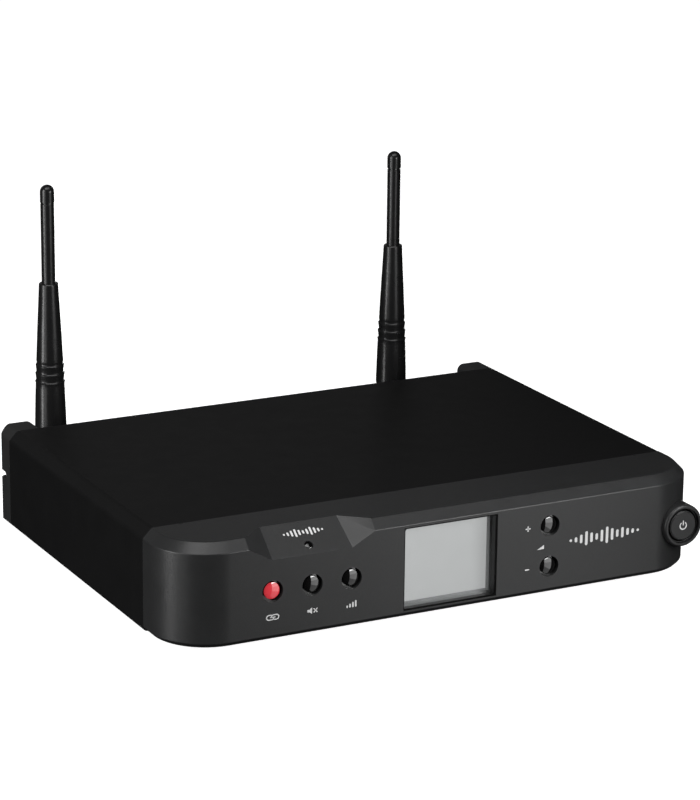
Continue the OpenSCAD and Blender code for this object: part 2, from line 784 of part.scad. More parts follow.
module jack_body() color("#161616") {
    at = [jack_x, jack_z];
    case = [15, 27 - gap, 15.2];
    bore_y = rear_y - 25;
    difference() {
        union() {
            translate([jack_x - case[0] / 2, rear_y - gap - case[1], board_top + gap]) cube(case);
            disc(at, rear_y - cut, jack_nose_r, jack_end_y - rear_y + cut);
        }
        disc(at, bore_y, jack_bore_r, jack_end_y + cut - bore_y);
    }
}

module jack_nut() color("silver") {
    difference() {
        along_y([jack_x, jack_z], panel_y + washer_t) cylinder(r = 6.6, h = 2.6, $fn = 6);
        disc([jack_x, jack_z], panel_y, jack_nose_r + gap, 5);
    }
}

module dc_inlet() color("#161616") {
    at = [dc_x, dc_z];
    case = [10, 14 - gap, 11];
    nose_h = 2.4;
    difference() {
        union() {
            translate([dc_x - case[0] / 2, rear_y - gap - case[1], board_top + gap]) cube(case);
            disc(at, rear_y - cut, dc_nose_r, nose_h + cut);
        }
        disc(at, rear_y - 10, 2.9, 20);
        disc(at, rear_y - 12, dc_pin_r + gap, 5);
    }
}

module dc_pin() color("gold") {
    disc([dc_x, dc_z], rear_y - 11.9, dc_pin_r, 12.5);
}

module usb_socket() color("silver") {
    shell = [7.6, 6.6, 2.7];
    wall = 0.35;
    tongue = [4, 5, 0.5];
    low = [usb_x - shell[0] / 2, rear_y - 5, board_top + gap];
    difference() {
        translate(low) cube(shell);
        translate(low + [wall, wall, wall])
            cube([shell[0] - 2 * wall, shell[1] + cut, shell[2] - 2 * wall]);
    }
    translate([usb_x - tongue[0] / 2, low[1] + wall - eps, usb_z - tongue[2] / 2]) cube(tongue);
}

module antenna_sockets() color("gold") {
    inside_y = rear_y - socket_inside;
    contact_h = 5;
    contact_r = 2.2;
    for (side = [-1, 1]) difference() {
        union() {
            disc([side * antenna_x, socket_z], inside_y, socket_r, socket_end_y - inside_y);
            along_y([side * antenna_x, socket_z], inside_y)
                cylinder(r = socket_nut_r, h = socket_inside - gap, $fn = 6);
        }
        disc([side * antenna_x, socket_z], socket_end_y - contact_h, contact_r, contact_h + cut);
    }
}

module socket_nuts() color("gold") {
    nut_h = 2.1;
    nut_y = panel_y + washer_t + gap;
    for (side = [-1, 1]) difference() {
        along_y([side * antenna_x, socket_z], nut_y) cylinder(r = socket_nut_r, h = nut_h, $fn = 6);
        disc([side * antenna_x, socket_z], nut_y - cut, socket_r + gap, nut_h + 2 * cut);
    }
}

// The nut that screws on the socket.
module coupling(side) color("#1b1b1b") {
    at = [side * antenna_x, socket_z];
    length = coupling_end_y - coupling_y;
    end_t = 1.2;
    difference() {
        disc(at, coupling_y, 4.9, length);
        disc(at, coupling_y - cut, socket_r + gap, length - end_t + cut);
        disc(at, coupling_y, neck_r, 20);
    }
}

// Turns in the coupling; its two ears carry the folding hinge.
module swivel(side) color("#1b1b1b") {
    at = [side * antenna_x, pivot_z];
    slot_half = tongue_half + 0.2;
    slot_y = pivot_y - tongue_r - 0.5;
    ears_w = 12;
    difference() {
        union() {
            // contact pin, the collar held behind the coupling's end, and the neck
            disc(at, coupling_end_y - 7, 0.5, 5);
            disc(at, coupling_end_y - 2.5, 2.6, 1.2);
            disc(at, coupling_end_y - 1.4, neck_r - gap, 2);
            disc(at, swivel_y, swivel_r, pivot_y - swivel_y - 4);
            intersection() {
                translate([at[0] - ears_w / 2, pivot_y, pivot_z]) {
                    rotate([0, 90, 0]) cylinder(r = ear_r, h = ears_w);
                    translate([0, -ears_w / 2, -swivel_r]) cube([ears_w, ears_w / 2, 2 * swivel_r]);
                }
                disc(at, pivot_y - ears_w / 2, ear_r, ears_w);
            }
        }
        translate([at[0] - slot_half, slot_y, pivot_z - 8]) cube([2 * slot_half, 20, 16]);
        translate([at[0] - 8, pivot_y, pivot_z]) rotate([0, 90, 0])
            cylinder(r = hinge_pin_r + gap, h = 16);
    }
}

module hinge_pin(side) color("silver") {
    length = 10;
    translate([side * antenna_x - length / 2, pivot_y, pivot_z]) rotate([0, 90, 0])
        cylinder(r = hinge_pin_r, h = length);
}

// Outline of half the antenna sleeve: a cone that steps out at each of its three ribs.
function sleeve_r(h) = sleeve_foot_r - (sleeve_foot_r - sleeve_top_r)
    * pow((h - sleeve_low) / (sleeve_high - sleeve_low), 1.3);

function sleeve_outline() = concat(
    [[0, sleeve_low], [sleeve_foot_r - 0.4, sleeve_low], [sleeve_foot_r, sleeve_low + 0.4]],
    [for (h = [10:5:25]) [sleeve_r(h), h]],
    [for (i = [0:2], s = [[0, 0.22], [0.3, -0.16], [0.8, -0.16]])
        [sleeve_r(rib_low + rib_pitch * i + s[0]) + s[1], rib_low + rib_pitch * i + s[0]]],
    [for (h = [34:5:59]) [sleeve_r(h), h]],
    [[sleeve_top_r + 0.05, sleeve_high - 0.3], [sleeve_top_r - 0.2, sleeve_high], [0, sleeve_high]]);

// The sleeve ends below in a tongue between the swivel's ears.
module antenna_sleeve(side) color("#232323") {
    tongue_w = 2 * tongue_half;
    translate([side * antenna_x, pivot_y, pivot_z]) difference() {
        union() {
            rotate_extrude() polygon(sleeve_outline());
            rotate([0, 90, 0]) translate([0, 0, -tongue_half]) cylinder(r = tongue_r, h = tongue_w);
            translate([-tongue_half, -tongue_r, 0]) cube([tongue_w, 2 * tongue_r, sleeve_low + 0.2]);
        }
        translate([0, 0, whip_low - 0.1]) cylinder(r = whip_r + gap, h = 10);
        translate([-tongue_w, 0, 0]) rotate([0, 90, 0])
            cylinder(r = hinge_pin_r + gap, h = 2 * tongue_w);
    }
}

// The whip ends above in a thinner neck under the tip.
module whip(side) color("#232323") {
    translate([side * antenna_x, pivot_y, pivot_z]) {
        translate([0, 0, whip_low]) cylinder(r = whip_r, h = tip_low - whip_low);
        translate([0, 0, tip_low - eps]) cylinder(r = whip_r - 0.4, h = tip_neck);
    }
}

module tip(side) color("#232323") {
    tip_r = whip_r + 0.1;
    dome_z = antenna_len - tip_low - tip_neck - tip_r;
    translate([side * antenna_x, pivot_y, pivot_z + tip_low + tip_neck]) {
        cylinder(r = tip_r, h = dome_z);
        translate([0, 0, dome_z - eps]) sphere(r = tip_r);
    }
}

module left_coupling() { coupling(-1); }
module left_swivel() { swivel(-1); }
module left_hinge_pin() { hinge_pin(-1); }
module left_sleeve() { antenna_sleeve(-1); }
module left_whip() { whip(-1); }
module left_tip() { tip(-1); }
module right_coupling() { coupling(1); }
module right_swivel() { swivel(1); }
module right_hinge_pin() { hinge_pin(1); }
module right_sleeve() { antenna_sleeve(1); }
module right_whip() { whip(1); }
module right_tip() { tip(1); }

enclosure_sleeve();
rubber_feet();
front_bezel();
front_subpanel();
front_screws();
bezel_screws();
display_window();
display_gasket();
display_panel();
status_lens();
front_board();
front_board_screws();
key_switches();
key_leds();
power_switch();
power_guide();
ribbon_cable();
link_button();
mute_button();
channel_button();
level_up_button();
level_down_button();
power_button();
main_board();
board_chips();
board_capacitors();
board_coils();
radio_board();
radio_shield();
antenna_leads();
rear_panel();
rear_frame();
rear_screws();
panel_washers();
xlr_body();
xlr_insert();
xlr_pins();
xlr_screws();
jack_body();
jack_nut();
dc_inlet();
dc_pin();
usb_socket();
antenna_sockets();
socket_nuts();
left_coupling();
left_swivel();
left_hinge_pin();
left_sleeve();
left_whip();
left_tip();
right_coupling();
right_swivel();
right_hinge_pin();
right_sleeve();
right_whip();
right_tip();
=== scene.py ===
import json
import math

import bmesh
import bpy
from mathutils import Matrix, Vector

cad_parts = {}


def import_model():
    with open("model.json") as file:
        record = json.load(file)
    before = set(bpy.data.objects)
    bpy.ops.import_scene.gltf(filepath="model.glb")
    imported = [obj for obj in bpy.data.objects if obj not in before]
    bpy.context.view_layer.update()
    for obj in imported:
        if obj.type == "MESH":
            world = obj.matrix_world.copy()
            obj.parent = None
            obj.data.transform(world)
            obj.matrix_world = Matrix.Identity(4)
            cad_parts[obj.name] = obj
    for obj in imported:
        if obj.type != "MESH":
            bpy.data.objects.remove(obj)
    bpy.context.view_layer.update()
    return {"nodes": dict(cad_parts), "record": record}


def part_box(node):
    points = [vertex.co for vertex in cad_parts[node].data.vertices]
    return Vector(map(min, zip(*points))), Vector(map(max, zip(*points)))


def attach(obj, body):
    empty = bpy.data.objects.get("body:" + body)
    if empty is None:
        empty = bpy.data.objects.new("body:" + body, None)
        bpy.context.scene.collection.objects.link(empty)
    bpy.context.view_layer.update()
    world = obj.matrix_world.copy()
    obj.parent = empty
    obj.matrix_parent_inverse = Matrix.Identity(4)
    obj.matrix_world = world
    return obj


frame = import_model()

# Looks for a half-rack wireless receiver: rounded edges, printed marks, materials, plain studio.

MM = 0.001
NODES = frame["nodes"]

# ---------------------------------------------------------------- places taken from the frame

sleeve_low, sleeve_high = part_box("enclosure_sleeve")
seam_y = sleeve_low.y
base_z, top_z = sleeve_low.z, sleeve_high.z
HOUSING_PROUD = 1.9 * MM
face_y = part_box("front_bezel")[0].y + HOUSING_PROUD


def centre(node):
    low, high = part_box(node)
    return (low + high) / 2


ACROSS = Vector((1, 0, 0))
UPRIGHT = Vector((0, 0, 1))
display_z = base_z + 17.5 * MM

# the badge's sloping face: where its lower edge meets the front, and its direction uphill
badge_foot = Vector((centre("mute_button").x, face_y, base_z + 28.8 * MM))
badge_up = Vector((0, 11.2, 8.2)).normalized()
LENS_UP = 3.85 * MM

# ---------------------------------------------------------------- mesh helpers


def place_in_scene(name, data):
    """A new object for some data, in the scene."""
    piece = bpy.data.objects.new(name, data)
    bpy.context.scene.collection.objects.link(piece)
    return piece


def place_mesh(name, made):
    data = bpy.data.meshes.new(name)
    made.to_mesh(data)
    return place_in_scene(name, data)


def skin(made, ring, other):
    """Closes the gap between two loops of the same number of vertices."""
    count = len(ring)
    for i in range(count):
        j = (i + 1) % count
        made.faces.new((ring[j], ring[i], other[i], other[j]))


def rounded_outline(width, height, radius):
    """The points of a rectangle with round corners about the origin, anticlockwise."""
    points = []
    for sx, sy, start in ((1, 1, 0), (-1, 1, 90), (-1, -1, 180), (1, -1, 270)):
        for step in range(5):
            turn = math.radians(start + 22.5 * step)
            points.append((sx * (width / 2 - radius) + radius * math.cos(turn),
                           sy * (height / 2 - radius) + radius * math.sin(turn)))
    return points

# ---------------------------------------------------------------- shader helpers


def add(tree, kind, inputs=None, **settings):
    """Adds one shader node; an input may be a value or another node's output."""
    made = tree.nodes.new("ShaderNode" + kind)
    for key, value in settings.items():
        setattr(made, key, value)
    for key, value in (inputs or {}).items():
        if isinstance(value, bpy.types.NodeSocket):
            tree.links.new(value, made.inputs[key])
        else:
            made.inputs[key].default_value = value
    return made


def new_tree(name):
    material = bpy.data.materials.new(name)
    material.use_nodes = True
    material.node_tree.nodes.clear()
    return material, material.node_tree


def noise_at(tree, size, detail=2.0, rough=0.5, stretch=None):
    """Noise whose features are about size metres across, or longer where stretch is below 1."""
    where = add(tree, "TexCoord").outputs["Object"]
    if stretch:
        longer = add(tree, "VectorMath", {0: where, 1: stretch}, operation="MULTIPLY")
        where = longer.outputs["Vector"]
    settings = {"Vector": where, "Scale": 1 / size, "Detail": detail, "Roughness": rough}
    return add(tree, "TexNoise", settings).outputs["Fac"]


def remap(tree, value, low, high, to_low, to_high):
    settings = {"Value": value, "From Min": low, "From Max": high,
                "To Min": to_low, "To Max": to_high}
    return add(tree, "MapRange", settings, clamp=True).outputs["Result"]


def math_node(tree, operation, first, second):
    return add(tree, "Math", {0: first, 1: second}, operation=operation).outputs[0]


def edge_mask(tree, radius):
    """1 along convex and concave edges, 0 on the flats."""
    rounded = add(tree, "Bevel", {"Radius": radius}, samples=4).outputs["Normal"]
    flat = add(tree, "NewGeometry").outputs["Normal"]
    along = add(tree, "VectorMath", {0: rounded, 1: flat}, operation="DOT_PRODUCT")
    return remap(tree, along.outputs["Value"], 0.995, 0.9, 0.0, 1.0)


def shade(tree, color, amount):
    """A colour made lighter or darker by a factor that may vary over the surface."""
    mixed = add(tree, "VectorMath", {0: color, "Scale": amount}, operation="SCALE")
    return mixed.outputs["Vector"]


KNURL_STEP = math.pi / 30
KNURL_DEPTH = 0.25 * MM


def knurl_height(tree, axis):
    """Straight grooves round an axis that runs along Y."""
    where = add(tree, "SeparateXYZ", {0: add(tree, "TexCoord").outputs["Object"]}).outputs
    across = math_node(tree, "SUBTRACT", where["X"], axis.x)
    upward = math_node(tree, "SUBTRACT", where["Z"], axis.z)
    turn = math_node(tree, "ARCTAN2", across, upward)
    groove = math_node(tree, "PINGPONG", turn, KNURL_STEP)
    return remap(tree, groove, 0.0, KNURL_STEP / 2, 0.0, 1.0)


PATCH_SIZE = 9 * MM
WEAR_AND_SHEEN_WIDTH = 0.5 * MM


def surface(name, color, rough, metallic=0.0, grain=0.25 * MM, bump=0.01 * MM, mottle=0.08,
            smudge=0.06, edge_wear_and_sheen=0.0, coat=0.0, specular=0.5, painted_glow=None, stretch=None, knurl=None,
            polish=0.1, painted_depth_shade=None):
    """A finish with fine grain, patchy colour and roughness, and lighter, smoother edges.

    wear lightens the edges, partly as rubbed edges and partly as a painted highlight, and polish
    smooths them; fade darkens from one depth in Y to another, as painted shade.
    """
    material, tree = new_tree(name)
    fine = noise_at(tree, grain, 3.0, 0.6, stretch)
    patch = noise_at(tree, PATCH_SIZE, 4.0, 0.55)
    tone = remap(tree, fine, 0.3, 0.7, 1 - mottle, 1 + mottle)
    broad = remap(tree, patch, 0.3, 0.7, 1 - mottle / 3, 1 + mottle / 3)
    tone = math_node(tree, "MULTIPLY", tone, broad)
    gloss = remap(tree, patch, 0.3, 0.7, rough - smudge, rough + smudge)
    if edge_wear_and_sheen:
        wear_and_sheen_mask = math_node(tree, "MULTIPLY", edge_mask(tree, WEAR_AND_SHEEN_WIDTH),
                         remap(tree, patch, 0.35, 0.65, 0.4, 1.0))
        # painted highlight: the edges are made lighter, partly as rubbed edges and partly in place
        # of the bright line that light draws along them
        tone = math_node(tree, "ADD", tone, math_node(tree, "MULTIPLY", wear_and_sheen_mask, edge_wear_and_sheen))
        gloss = math_node(tree, "SUBTRACT", gloss, math_node(tree, "MULTIPLY", wear_and_sheen_mask, polish))
    # painted shade: from one depth on, the colour is made dark, as shade deep in a hole
    if painted_depth_shade:
        depth = add(tree, "SeparateXYZ", {0: add(tree, "TexCoord").outputs["Object"]}).outputs["Y"]
        lit = remap(tree, depth, *painted_depth_shade, 1.0, 0.02)
        tone = math_node(tree, "MULTIPLY", tone, lit)
    settings = {"Strength": 1.0, "Distance": bump, "Height": fine}
    relief = add(tree, "Bump", settings).outputs["Normal"]
    if knurl:
        settings = {"Strength": 1.0, "Distance": KNURL_DEPTH, "Normal": relief,
                    "Height": knurl_height(tree, knurl)}
        relief = add(tree, "Bump", settings).outputs["Normal"]
    inputs = {"Base Color": shade(tree, color, tone), "Roughness": gloss, "Metallic": metallic,
              "Normal": relief, "Coat Weight": coat, "Coat Roughness": 0.03,
              "Specular IOR Level": specular}
    # painted glow: the surface gives off light though it is no lamp
    if painted_glow:
        glow, strength = painted_glow
        inputs["Emission Color"] = (*glow, 1.0)
        if painted_depth_shade:
            strength = math_node(tree, "MULTIPLY", strength, lit)
        inputs["Emission Strength"] = strength
    shader = add(tree, "BsdfPrincipled", inputs)
    add(tree, "OutputMaterial", {"Surface": shader.outputs[0]})
    return material


def window_material():
    """Clear window: mostly lets light through, with a reflection that grows at a slant."""
    material, tree = new_tree("display_glass")
    haze = remap(tree, noise_at(tree, 14 * MM, 3.0), 0.3, 0.7, 0.01, 0.03)
    clear = add(tree, "BsdfTransparent", {"Color": (0.93, 0.94, 0.94, 1)})
    gloss = add(tree, "BsdfGlossy", {"Color": (1, 1, 1, 1), "Roughness": haze})
    share = add(tree, "Fresnel", {"IOR": 1.25}).outputs["Fac"]
    inside = add(tree, "NewGeometry").outputs["Backfacing"]
    share = math_node(tree, "MULTIPLY", share, math_node(tree, "SUBTRACT", 1.0, inside))
    mixed = add(tree, "MixShader", {0: share, 1: clear.outputs[0], 2: gloss.outputs[0]})
    add(tree, "OutputMaterial", {"Surface": mixed.outputs[0]})
    return material


HAIRLINE_PITCH = 1.7 * MM
HAIRLINE_WIDTH = 0.12 * MM
HAIRLINE_SLANT = 0.32


def painted_glow_panel_material():
    """Unlit display: its pale grey is a painted glow, painted lighter towards the upper left, with
    faint slanted hairlines.
    """
    material, tree = new_tree("display_grey")
    low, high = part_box("display_window")
    where = add(tree, "SeparateXYZ", {0: add(tree, "TexCoord").outputs["Object"]}).outputs
    # painted light: the panel is made lighter towards the left and towards the top
    across = remap(tree, where["X"], low.x, high.x, 1.04, 0.98)
    upward = remap(tree, where["Z"], low.z, high.z, 0.95, 1.03)
    tone = math_node(tree, "MULTIPLY", across, upward)
    lean = math_node(tree, "MULTIPLY", where["Z"], HAIRLINE_SLANT)
    slant = math_node(tree, "SUBTRACT", where["X"], lean)
    saw = math_node(tree, "PINGPONG", slant, HAIRLINE_PITCH)
    line = remap(tree, saw, 0.0, HAIRLINE_WIDTH, 0.955, 1.0)
    left_only = remap(tree, where["X"], low.x + 5 * MM, low.x + 14 * MM, 0.0, 1.0)
    line = math_node(tree, "MAXIMUM", line, left_only)
    tone = math_node(tree, "MULTIPLY", tone, line)
    cloudy = remap(tree, noise_at(tree, 8 * MM), 0.3, 0.7, 0.985, 1.015)
    tone = math_node(tree, "MULTIPLY", tone, cloudy)
    # painted glow: the emission stands in for the light that the unlit display reflects
    shader = add(tree, "BsdfPrincipled", {"Base Color": shade(tree, (0.12, 0.12, 0.12), tone),
                                          "Roughness": 0.6, "Specular IOR Level": 0.1,
                                          "Emission Color": shade(tree, (0.4, 0.4, 0.4), tone),
                                          "Emission Strength": 1.0})
    add(tree, "OutputMaterial", {"Surface": shader.outputs[0]})
    return material


MATERIALS = {
    "black_anodised": surface("black_anodised", (0.0042, 0.0042, 0.0043), 0.46, grain=0.12 * MM,
                              bump=0.002 * MM, mottle=0.06, smudge=0.02, edge_wear_and_sheen=0.5, specular=0.15,
                              stretch=(1, 0.05, 1)),
    # the bezel's lighter edges are partly a painted highlight along its rounded edges
    "bezel_plastic": surface("bezel_plastic", (0.0155, 0.0157, 0.016), 0.36, grain=0.35 * MM,
                             bump=0.03 * MM, mottle=0.12, smudge=0.02, edge_wear_and_sheen=0.4, specular=0.28,
                             polish=0.18),
    "frame_plastic": surface("frame_plastic", (0.014, 0.0142, 0.0144), 0.45, grain=0.3 * MM,
                             bump=0.006 * MM, mottle=0.1, smudge=0.03, edge_wear_and_sheen=0.4, specular=0.28),
    "black_plastic": surface("black_plastic", (0.006, 0.006, 0.006), 0.4, edge_wear_and_sheen=0.3, specular=0.3),
    "black_zinc": surface("black_zinc", (0.016, 0.016, 0.017), 0.45, metallic=0.3, edge_wear_and_sheen=0.6),
    "zinc_steel": surface("zinc_steel", (0.62, 0.63, 0.64), 0.3, metallic=1.0,
                          bump=0.004 * MM, edge_wear_and_sheen=0.1),
    "nickel_brass": surface("nickel_brass", (0.68, 0.66, 0.6), 0.22, metallic=1.0,
                            bump=0.003 * MM, edge_wear_and_sheen=0.1),
    "gold_brass": surface("gold_brass", (0.8, 0.6, 0.28), 0.25, metallic=1.0,
                          bump=0.003 * MM, edge_wear_and_sheen=0.1),
    "gloss_black": surface("gloss_black", (0.004, 0.004, 0.004), 0.06, mottle=0.02, smudge=0.02,
                           bump=0.0003 * MM, coat=0.6),
    # the red key's glow is painted light in place of light passing through the red plastic, and it
    # is painted dark deeper than 0.8 mm behind the face, as shade in its hole
    "gloss_red": surface("gloss_red", (0.45, 0.03, 0.04), 0.08, mottle=0.04, smudge=0.02,
                         bump=0.0003 * MM, coat=0.6, painted_glow=((1.0, 0.07, 0.09), 0.2),
                         painted_depth_shade=(face_y + 0.8 * MM, face_y + 1.0 * MM)),
    "display_glass": window_material(),
    "display_grey": painted_glow_panel_material(),
    "gasket_grey": surface("gasket_grey", (0.26, 0.26, 0.26), 0.7, bump=0.01 * MM, specular=0.2),
    "smoked_plastic": surface("smoked_plastic", (0.0015, 0.0015, 0.0015), 0.3,
                              bump=0.0005 * MM, specular=0.1),
    "lamp_black": surface("lamp_black", (0.001, 0.001, 0.001), 0.12,
                          bump=0.0003 * MM, specular=0.7),
    "rim_black": surface("rim_black", (0.0015, 0.0015, 0.0015), 0.6,
                         bump=0.001 * MM, specular=0.05),
    "led_white": surface("led_white", (0.86, 0.86, 0.82), 0.25, mottle=0.03, bump=0.002 * MM),
    "print_white": surface("print_white", (0.5, 0.5, 0.5), 0.55, mottle=0.04, bump=0.002 * MM),
    "circuit_board": surface("circuit_board", (0.015, 0.1, 0.04), 0.35, edge_wear_and_sheen=0.2),
    "chip_black": surface("chip_black", (0.02, 0.02, 0.02), 0.5, edge_wear_and_sheen=0.2),
    "capacitor_sleeve": surface("capacitor_sleeve", (0.02, 0.03, 0.08), 0.25, edge_wear_and_sheen=0.2),
    "ferrite": surface("ferrite", (0.06, 0.05, 0.04), 0.6, edge_wear_and_sheen=0.2),
    "ribbon": surface("ribbon", (0.7, 0.7, 0.68), 0.45),
    "cable_black": surface("cable_black", (0.01, 0.01, 0.01), 0.45),
    "foot_rubber": surface("foot_rubber", (0.014, 0.014, 0.014), 0.75, bump=0.02 * MM),
    "antenna_black": surface("antenna_black", (0.0075, 0.0075, 0.0077), 0.26, grain=0.2 * MM,
                             bump=0.003 * MM, mottle=0.08, smudge=0.03, edge_wear_and_sheen=0.35, specular=0.3),
}

# ---------------------------------------------------------------- CAD nodes: finish and edges

# width of the rounding in mm, and the smallest angle between two faces that gets it
EDGE = {"enclosure_sleeve": (0.15, 32), "front_bezel": (0.45, 12), "rear_frame": (0.3, 20),
        "power_button": (0.3, 32), "rear_panel": (0.1, 32), "display_window": (0.1, 32)}
PLAIN_EDGE = (0.12, 32)


def paint(piece, material):
    piece.data.materials.clear()
    piece.data.materials.append(material)


def fit_visual(piece, material, body="chassis"):
    """Finishes a piece that is only in the visual model, and fixes it to a body."""
    paint(piece, material)
    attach(piece, body)


def round_edges(piece, width, angle):
    """Joins the mesh's seams, drops edges inside flat faces, and rounds the sharp edges left."""
    if "custom_normal" in piece.data.attributes:
        piece.data.attributes.remove(piece.data.attributes["custom_normal"])
    for polygon in piece.data.polygons:
        polygon.use_smooth = True
    weld = piece.modifiers.new("weld", "WELD")
    weld.merge_threshold = 0.001 * MM
    flat = piece.modifiers.new("flat", "DECIMATE")
    flat.decimate_type = "DISSOLVE"
    flat.angle_limit = math.radians(0.4)
    bevel = piece.modifiers.new("bevel", "BEVEL")
    bevel.width = width
    bevel.segments = 3
    bevel.limit_method = "ANGLE"
    bevel.angle_limit = math.radians(angle)
    normals = piece.modifiers.new("normals", "WEIGHTED_NORMAL")
    normals.keep_sharp = False
    normals.weight = 100


SLOTS = {part["node"]: part["material_slot"] for part in frame["record"]["subparts"]}
for name, piece in NODES.items():
    paint(piece, MATERIALS[SLOTS[name]])
    edge_width, edge_angle = EDGE.get(name, PLAIN_EDGE)
    round_edges(piece, edge_width * MM, edge_angle)

for side in ("left", "right"):
    knurled = surface(side + "_knurl", (0.0075, 0.0075, 0.0077), 0.3, edge_wear_and_sheen=0.4, specular=0.3,
                      knurl=centre(side + "_coupling"))
    paint(NODES[side + "_coupling"], knurled)

# ---------------------------------------------------------------- cross recesses in the screw heads


HEAD_SPACING = 12 * MM
RECESS_ARM, RECESS_WIDTH, RECESS_DEPTH = 1.4 * MM, 0.7 * MM, 0.9 * MM
RECESS_TAPER = 0.55
AFTER_WELD = 2


def screw_heads(node):
    """The middle of each screw head of a node, on its rearmost face."""
    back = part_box(node)[1].y
    rims = [v.co for v in NODES[node].data.vertices if v.co.y > back - 0.05 * MM]
    heads = []
    for point in rims:
        near = [h for h in heads
                if abs(h[0].x - point.x) + abs(h[0].z - point.z) < HEAD_SPACING]
        if near:
            near[0].append(point)
        else:
            heads.append([point])
    return [sum((p for p in head), Vector()) / len(head) for head in heads]


def cross_cutter(node):
    """One hidden mesh with a tapered cross over each screw head of a node."""
    made = bmesh.new()
    for head in screw_heads(node):
        rings = []
        for y, share in ((RECESS_DEPTH, 1.0), (-RECESS_DEPTH, RECESS_TAPER)):
            w, a = RECESS_WIDTH / 2 * share, RECESS_ARM * share
            outline = [(w, w), (w, a), (-w, a), (-w, w), (-a, w), (-a, -w), (-w, -w), (-w, -a),
                       (w, -a), (w, -w), (a, -w), (a, w)]
            rings.append([made.verts.new((head.x + x, head.y + y, head.z + z)) for x, z in outline])
        made.faces.new(rings[0])
        made.faces.new(rings[1][::-1])
        skin(made, *rings)
    bmesh.ops.recalc_face_normals(made, faces=made.faces)
    piece = place_mesh(node + "_cutter", made)
    piece.hide_render = True
    piece.hide_viewport = True
    return piece


for node in ("rear_screws", "xlr_screws"):
    recess = NODES[node].modifiers.new("recess", "BOOLEAN")
    recess.object = cross_cutter(node)
    recess.solver = "EXACT"
    NODES[node].modifiers.move(len(NODES[node].modifiers) - 1, AFTER_WELD)

# ---------------------------------------------------------------- bright cut edge of the sleeve


CUT_EDGE = surface("cut_edge", (0.12, 0.12, 0.12), 0.3, metallic=0.8, specular=0.4)
BEAD_R = 0.09 * MM


def bead(name, points):
    """A fine round bead along a path, in the groove where sleeve and bezel meet."""
    curve = bpy.data.curves.new(name, "CURVE")
    curve.dimensions = "3D"
    curve.bevel_depth = BEAD_R
    curve.bevel_resolution = 3
    curve.use_fill_caps = True
    line = curve.splines.new("POLY")
    line.points.add(len(points) - 1)
    for knot, point in zip(line.points, points):
        knot.co = (*point, 1)
    fit_visual(place_in_scene(name, curve), CUT_EDGE)


bead_y = seam_y - 0.07 * MM
bead_z = top_z - BEAD_R - 0.02 * MM
side_x = sleeve_high.x - BEAD_R - 0.02 * MM
bead("cut_edge_top", [(x * MM, bead_y, bead_z) for x in (-90, 0, 90)])
for name, side in (("left", -1), ("right", 1)):
    heights = (base_z + 3 * MM, base_z + 18 * MM, top_z - 5 * MM)
    bead("cut_edge_" + name, [(side * side_x, bead_y, z) for z in heights])

# ---------------------------------------------------------------- black frame round the display opening


RIM_WIDTH, RIM_HEIGHT, RIM_CORNER = 37.06 * MM, 30.36 * MM, 0.8 * MM
RIM_WALL, RIM_FRONT, RIM_BACK = 0.5 * MM, 0.3 * MM, 0.9 * MM


def display_rim():
    """A fine black frame that lines the opening just behind the front face."""
    middle = centre("display_window")
    made = bmesh.new()
    rings = []
    for inset, y in ((0, RIM_FRONT), (0, RIM_BACK), (RIM_WALL, RIM_BACK), (RIM_WALL, RIM_FRONT)):
        outline = rounded_outline(RIM_WIDTH - 2 * inset, RIM_HEIGHT - 2 * inset, RIM_CORNER)
        rings.append([made.verts.new((middle.x + x, face_y + y, display_z + z))
                      for x, z in outline])
    for ring, other in zip(rings, rings[1:] + rings[:1]):
        skin(made, ring, other)
    bmesh.ops.recalc_face_normals(made, faces=made.faces)
    fit_visual(place_mesh("display_rim", made), MATERIALS["rim_black"])


display_rim()


# radius and depth of each ring of the dome in mm, from its top outwards
DOME_RINGS = ((0.05, 0.1), (0.7, 0.12), (1.05, 0.16), (1.25, 0.24), (1.42, 0.38), (1.52, 0.6))
DOME_STEPS = 48


def status_dome():
    """The small glossy dome over the status lamp, in the badge."""
    inward = badge_up.cross(ACROSS)
    top = badge_foot + badge_up * LENS_UP
    made = bmesh.new()
    rings = []
    for radius, depth in DOME_RINGS:
        turns = [math.tau * step / DOME_STEPS for step in range(DOME_STEPS)]
        rings.append([made.verts.new(top + ACROSS * radius * math.cos(turn) * MM
                                     + badge_up * radius * math.sin(turn) * MM
                                     + inward * depth * MM) for turn in turns])
    made.faces.new(rings[0])
    for ring, other in zip(rings, rings[1:]):
        skin(made, ring, other)
    for face in made.faces:
        face.smooth = True
    fit_visual(place_mesh("status_dome", made), MATERIALS["lamp_black"])


status_dome()

# ---------------------------------------------------------------- printed marks


